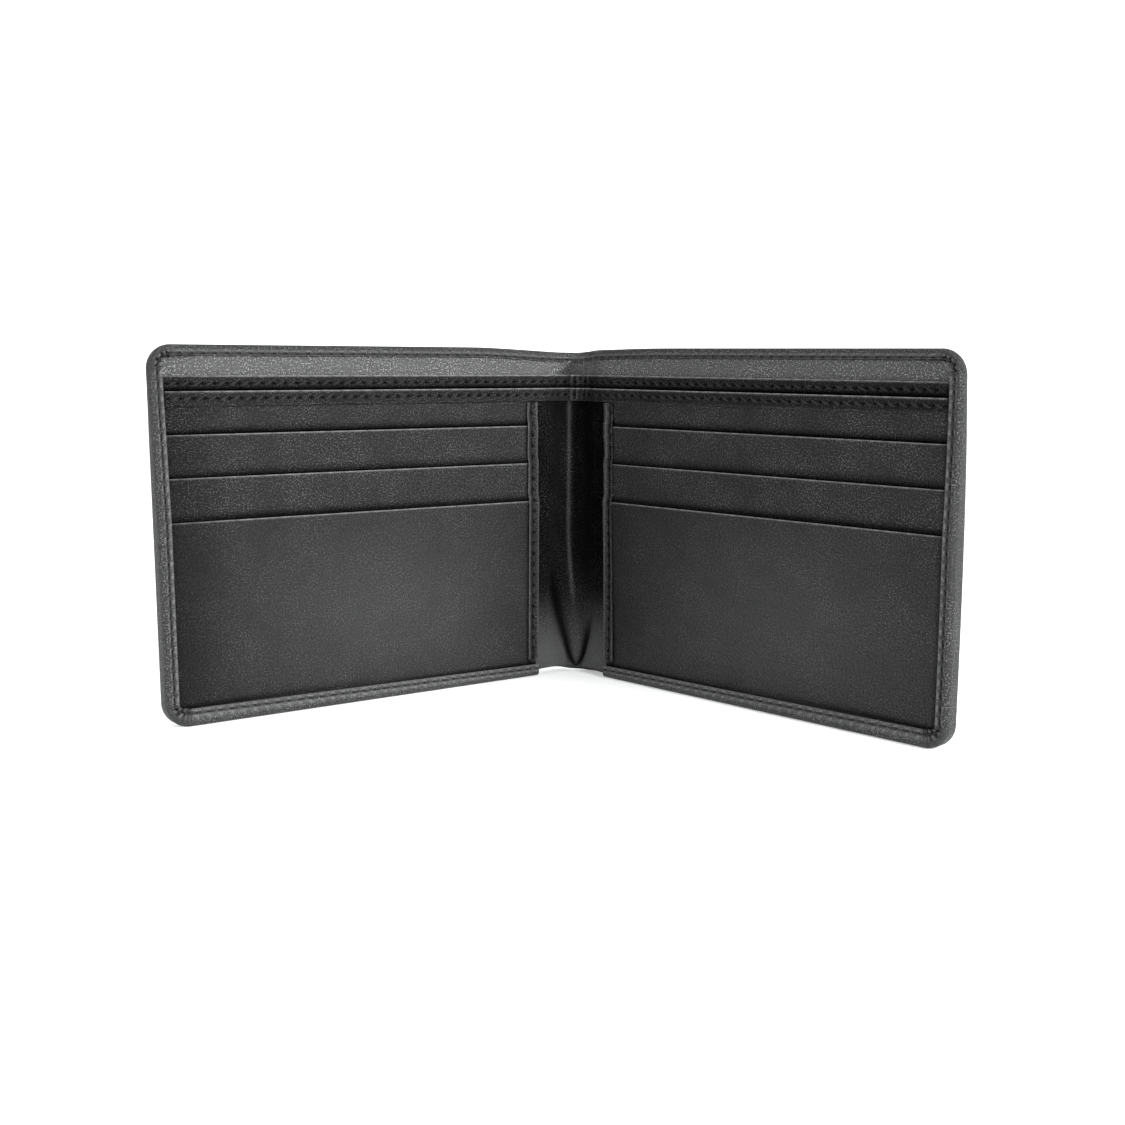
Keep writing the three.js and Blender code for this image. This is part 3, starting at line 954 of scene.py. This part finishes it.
def edge_depth(z):
    """The leaf's inner face at its outer edge thins above the front pocket."""
    t = np.clip((z - MOUTH[3]) / (HEIGHT - MOUTH[3]), 0, 1)
    return mix(LEAF_DEPTH, EDGE_TOP_DEPTH, t)


def plate_grid():
    """The points of the cover's flat back, as u and z in rows from its bottom to its top."""
    run = LEAF_LENGTH - CORNER
    us = np.unique(np.concatenate([
        np.arange(-SPINE_HALF, run, GRID_STEP),
        [PANEL_START - 0.0001, PANEL_START + 0.0001, run],
    ]))
    angles = np.linspace(0, math.pi / 2, CORNER_STEPS + 1)
    inner = CORNER - NOSE
    low = CORNER - inner * np.cos(angles)
    ends = LEAF_LENGTH - CORNER + inner * np.sin(angles)
    middle = np.linspace(CORNER, HEIGHT - CORNER, int((HEIGHT - 2 * CORNER) / GRID_STEP))[1:-1]
    heights = np.concatenate([low, middle, HEIGHT - low[::-1]])
    reach = np.concatenate([ends, np.full(middle.size, LEAF_LENGTH - NOSE), ends[::-1]])
    fractions = (us + SPINE_HALF) / (run + SPINE_HALF)
    u = -SPINE_HALF + fractions[None, :] * (reach[:, None] + SPINE_HALF)
    return u, heights[:, None] + 0 * u


class Rim:
    """The cover's edge, from the spine along the bottom, up the outer side and back along the top: its
    points, the way out from the leaf at each, and the distance run so far."""

    def __init__(self, u, z):
        rows, cols = u.shape
        bottom = [(0, i) for i in range(cols)]
        outer = [(j, cols - 1) for j in range(1, rows)]
        top = [(rows - 1, i) for i in range(cols - 2, -1, -1)]
        self.order = np.array(bottom + outer + top)
        inside = np.stack([u, z], -1)[self.order[:, 0], self.order[:, 1]]
        self.u = inside[:, 0]
        centre = np.stack([
            np.minimum(inside[:, 0], LEAF_LENGTH - CORNER),
            np.clip(inside[:, 1], CORNER, HEIGHT - CORNER),
        ], -1)
        self.out = inside - centre
        self.out /= np.linalg.norm(self.out, axis=1)[:, None]
        self.edge = inside + self.out * NOSE
        run = np.linalg.norm(np.diff(self.edge, axis=0), axis=1)
        self.along = np.concatenate([[0], np.cumsum(run)])
        self.top = smoothstep((self.out[:, 1] - 0.1) / 0.9)
        self.bottom = smoothstep((-self.out[:, 1] - 0.1) / 0.9)
        self.panel = smoothstep((self.u - PANEL_START) / 0.0001)  # 0 along the spine, 1 along the panel
        self.sewn = np.where(self.bottom > 0.5, self.panel, 1)

    def thickness(self):
        """The wallet's depth at the rim: all layers, but for the open top and the spine."""
        thick = edge_depth(self.edge[:, 1])
        open_top = smoothstep((LEAF_LENGTH - CORNER - self.u) / 0.008) * (self.out[:, 1] > 0.99)
        thick = mix(thick, DEPTH["cover_top_facing"] + 0.0001, np.maximum(open_top, self.top * 0.35))
        return np.where(self.bottom > 0.99, mix(HEM_DEPTH, thick, self.panel), thick)

    def turn(self):
        """How far the leather is turned in."""
        width = mix(SIDE_TURN, TOP_TURN, self.top)
        return mix(width, mix(SPINE_TURN, bottom_turn(self.u), self.panel), self.bottom)

    def seam(self):
        """How far in the seam runs."""
        width = mix(SIDE_SEAM, TOP_SEAM, self.top)
        low = mix(SPINE_TURN / 2, bottom_turn(self.u) - SEAM_TO_HEM, self.panel)
        return mix(width, low, self.bottom)

    def pleat_waves(self):
        """Where each point lies across the pleats in the corners' hems, and how much it is pleated."""
        turning = np.abs(np.arctan2(self.out[:, 1], self.out[:, 0])) / (math.pi / 2)
        wave = np.abs(np.sin(math.pi * PLEATS * (turning + 0.05 * np.sin(7 * turning))))
        at_outer_end = self.u > LEAF_LENGTH - 2 * CORNER
        return wave, np.sin(math.pi * np.clip(turning, 0, 1)) ** 0.5 * at_outer_end

    def gathers(self):
        """1 in a pleat's depth."""
        wave, pleated = self.pleat_waves()
        return (1 - wave) ** 1.6 * pleated

    def crests(self):
        """1 on top of a pleat."""
        wave, pleated = self.pleat_waves()
        return wave**6 * pleated


def hem_section(thick, turn, seam):
    """The skin's section at each place round the rim, as its distances in from the edge and its depths:
    over the back's rounded edge, up the side, over to the front and in along the turned hem."""
    nose = np.minimum(NOSE, thick * 0.45)
    front = np.minimum(FRONT_ROUND, turn * 0.4)
    steps = []
    for angle in np.linspace(0, math.pi / 2, ROUND_STEPS):
        steps.append((NOSE * (1 - math.sin(angle)), nose * (1 - math.cos(angle))))
    for angle in np.linspace(0, math.pi / 2, ROUND_STEPS)[1:]:
        steps.append((front * (1 - math.cos(angle)), thick - nose * (1 - math.sin(angle))))
    for offset in SEAM_STEPS:
        inset = np.clip(seam + offset, front, turn - 0.0003)
        steps.append((inset, thick + 0.0001 * ridge(offset - 0.0006, 0.0003)))
    steps.append((turn - 0.00012, thick - 0.00004))
    steps.append((turn, thick - 0.0004))
    inset = np.stack([s[0] + 0 * thick for s in steps], -1)
    depth = np.stack([s[1] + 0 * thick for s in steps], -1)
    return inset, depth


def skin_faces(rim, plate_shape, skirt_shape):
    """The faces of the cover's flat back, and of the skirt that goes on from its rim."""
    rows, cols = plate_shape
    start = (rim.order[:, 0] * cols + rim.order[:, 1])[:, None]
    skirt = np.arange(skirt_shape[0] * skirt_shape[1]).reshape(skirt_shape) + rows * cols
    return [*quads(rows, cols), *cells(np.concatenate([start, skirt], 1))]


def skin_flat(side, rim, u, z, inset, depth):
    """Each point's place in the uncut leather, whose skirt is unrolled outwards from the rim."""
    steps = np.hypot(np.diff(inset, axis=1), np.diff(depth, axis=1))
    unrolled = rim.edge[:, None, :] + rim.out[:, None, :] * np.cumsum(steps, 1)[..., None]
    flat = np.concatenate([np.stack([u, z], -1).reshape(-1, 2), unrolled.reshape(-1, 2)])
    return np.stack([SIDES[side] * (flat[:, 0] + SPINE_HALF), flat[:, 1], 0 * flat[:, 0]], -1)


def skin_wear_and_highlights(rim, inset, turn, from_seam, sewn):
    """The turned hem is rubbed and lit, with painted highlights over it, most of all along its end, in beads
    beside its needle holes and on its pleats' crests."""
    before_seam = np.maximum(rim.bottom * 0.35, rim.top * 0.3)[:, None]
    past_seam = mix(0.12, 0.3, rim.top[:, None])
    level = mix(before_seam, past_seam, smoothstep(from_seam / 0.0004))
    worn_and_lit = 0.35 * ridge(inset - turn[:, None], 0.00025) + level
    beads = needle_holes(rim.along[:, None]) * ridge(np.abs(from_seam) - 0.0006, 0.00025)
    worn_and_lit = np.maximum(worn_and_lit, 0.9 * beads * sewn)
    return np.maximum(worn_and_lit, 0.5 * rim.crests()[:, None])


def skin_shade(rim, inset, inward, from_seam, sewn):
    """The turned edge is dark along its seam, with painted shade in its pleats and a little where it turns to the
    back.
    """
    seam_line = seam_shade(rim.along[:, None], from_seam, mix(0.00025, 0.0004, rim.top[:, None]))
    dark = np.maximum(seam_line * sewn, rim.gathers()[:, None] * np.sqrt(inward))
    return np.maximum(dark, 0.15 * ridge(inset, 0.001))


def cover_skin(side):
    """The flat back, and a skirt of points that goes on from its rim, round the edge to the hem's end."""
    u, z = plate_grid()
    rim = Rim(u, z)
    thick, turn, seam = rim.thickness(), rim.turn(), rim.seam()
    inset, depth = hem_section(thick, turn, seam)
    on_front = np.arange(inset.shape[1]) >= 2 * ROUND_STEPS - 1
    sewn = rim.sewn[:, None] * on_front
    from_seam = inset - seam[:, None]
    inward = np.clip(inset / turn[:, None], 0, 1) * on_front
    depth -= puckers(rim.along[:, None], from_seam, 0.0003, 0.0005) * sewn
    depth -= PLEAT_DEPTH * rim.gathers()[:, None] * np.sqrt(inward)
    skirt_u = rim.edge[:, 0, None] - rim.out[:, 0, None] * inset
    skirt_z = rim.edge[:, 1, None] - rim.out[:, 1, None] * inset

    plate = placed(side, u, drawn_in(side, u, z), 0 * u)
    skirt = placed(side, skirt_u, drawn_in(side, skirt_u, skirt_z), depth)[:, 1:]
    points = np.concatenate([plate.reshape(-1, 3), skirt.reshape(-1, 3)])
    faces = skin_faces(rim, u.shape, skirt.shape[:2])
    worn_and_lit = skin_wear_and_highlights(rim, inset, turn, from_seam, sewn) * on_front
    dark = skin_shade(rim, inset, inward, from_seam, sewn)
    bare = np.zeros(u.size)
    attributes = {
        "flat": skin_flat(side, rim, u, z, inset, depth),
        "wear": np.concatenate([bare, worn_and_lit[:, 1:].ravel()]),
        "crease": np.concatenate([bare, dark[:, 1:].ravel()]),
    }
    mesh = finished_mesh(f"{side}_cover_skin", points, faces, attributes, SKIN_SHARP)
    skin = new_object(f"{side}_cover_skin", mesh, COVER_LEATHER)
    thickened(skin, EDGE_LEATHER)
    over_spine(skin, side, "cover_leather", "cover")
    edge_stitches(side, rim, seam, thick)


def thickened(piece, thickness):
    """Gives an open skin its thickness, on its inner side, and its sharp edges again."""
    solid = piece.modifiers.new("thickness", "SOLIDIFY")
    solid.thickness = thickness
    faces_back = piece.data.polygons[0].normal.y > 0
    solid.offset = -1 if faces_back else 1
    evaluated = piece.evaluated_get(bpy.context.evaluated_depsgraph_get())
    applied = bpy.data.meshes.new_from_object(evaluated)
    piece.modifiers.clear()
    applied.set_sharp_from_angle(angle=math.radians(SKIN_SHARP))
    piece.data = applied


def edge_stitches(side, rim, seam, thick):
    """The turned edge's seam, from the card panel round to the spine's centre line."""
    path = []
    for distance in np.arange(STITCH / 2, rim.along[-1], STITCH):
        k = int(np.searchsorted(rim.along, distance))
        if rim.sewn[k] < 0.5:
            continue
        u, z = rim.edge[k] - rim.out[k] * seam[k]
        direction = math.atan2(rim.out[k][0], -rim.out[k][1])
        path.append((u, float(drawn_in(side, u, z)), thick[k] - STITCH_LIFT, direction))
    row = stitch_row(
        f"{side}_edge_stitches", side, path, 0.12, GREY_THREAD, EDGE_STITCH, EDGE_THREAD
    )
    over_spine(row, side, "grey_thread", "edge_thread", "facing_thread")


# The camera and the stage

LENS = 44.39  # millimetres, on a 36 mm wide sensor
EYE = (0.03, FOLD_Y - 0.3921, 0.0895)
YAW, PITCH, ROLL = -0.0849, 0.147, 0.0062  # radians
WALLET_MIDDLE = (0, 0, 0.04)
PAPER_SIZE = 6
PAPER_SHADES = (0.86, 0.9)


def camera():
    """Looks a little down on the open wallet, from in front of its right-hand leaf."""
    data = bpy.data.cameras.new("camera")
    data.sensor_width = 36
    data.lens = LENS
    data.clip_start = 0.01
    eye = bpy.data.objects.new("camera", data)
    level_ahead = Vector((math.sin(YAW), math.cos(YAW), 0))
    ahead = level_ahead * math.cos(PITCH) - Vector((0, 0, math.sin(PITCH)))
    right = Vector((math.cos(YAW), -math.sin(YAW), 0))
    up = right.cross(ahead)
    level = Matrix((right, up, -ahead)).transposed().to_4x4()
    eye.matrix_world = Matrix.Translation(EYE) @ level @ Matrix.Rotation(ROLL, 4, "Z")
    bpy.context.scene.collection.objects.link(eye)
    bpy.context.scene.camera = eye


def soft_light(name, place, size, power, target=WALLET_MIDDLE):
    data = bpy.data.lights.new(name, "AREA")
    data.shape = "RECTANGLE"
    data.size, data.size_y = size
    data.energy = power
    lamp = bpy.data.objects.new(name, data)
    lamp.location = place
    lamp.rotation_euler = (Vector(target) - Vector(place)).to_track_quat("-Z", "Y").to_euler()
    bpy.context.scene.collection.objects.link(lamp)


def pale_sheet(name, place, turn, glow):
    """A big plain sheet of studio paper."""
    bpy.ops.mesh.primitive_plane_add(size=PAPER_SIZE, location=place, rotation=turn)
    paper = bpy.context.object
    paper.name = name
    n = Nodes(name)
    point = n.add("ShaderNodeTexCoord").outputs["Object"]
    tone = n.blend(n.noise(point, 40.0), grey(PAPER_SHADES[0]), grey(PAPER_SHADES[1]))
    material = n.finish(Base_Color=tone, Roughness=0.7, Emission_Color=tone, Emission_Strength=glow)
    paper.data.materials.append(material)


def studio():
    pale_sheet("floor", place=(0, 0, 0), turn=(0, 0, 0), glow=0.35)
    pale_sheet("backdrop", place=(0, 1.5, 2.9), turn=(math.pi / 2, 0, 0), glow=1.0)
    world = bpy.data.worlds.new("studio")
    world.use_nodes = True
    world.node_tree.nodes["Background"].inputs["Color"].default_value = (1, 1, 1, 1)
    world.node_tree.nodes["Background"].inputs["Strength"].default_value = 0.1
    bpy.context.scene.world = world
    bpy.context.scene.view_settings.view_transform = "Standard"
    soft_light("key", place=(0.85, -0.62, 0.5), size=(0.5, 0.6), power=30)
    soft_light("fill", place=(-0.75, -0.55, 0.35), size=(0.5, 0.5), power=8)
    soft_light("top", place=(0, 0.1, 0.9), size=(0.9, 0.6), power=2, target=(0, 0.05, 0))


def finish_cad_nodes():
    """The CAD nodes that stay: they lie hidden inside, and take their slot's material."""
    slots = {entry["node"]: entry["material_slot"] for entry in frame["record"]["subparts"]}
    for name, node in frame["nodes"].items():
        if not node.hide_render:
            node.data.materials.clear()
            node.data.materials.append(SLOTS[slots[name]])


camera()
for half in SIDES:
    cover_skin(half)
    facing(half)
    lining(half)
    divider(half)
    inner_wall(half)
    top_band(half)
    card_panel(half)
    hem_stitches(half)
    side_binding(half)
finish_cad_nodes()
studio()
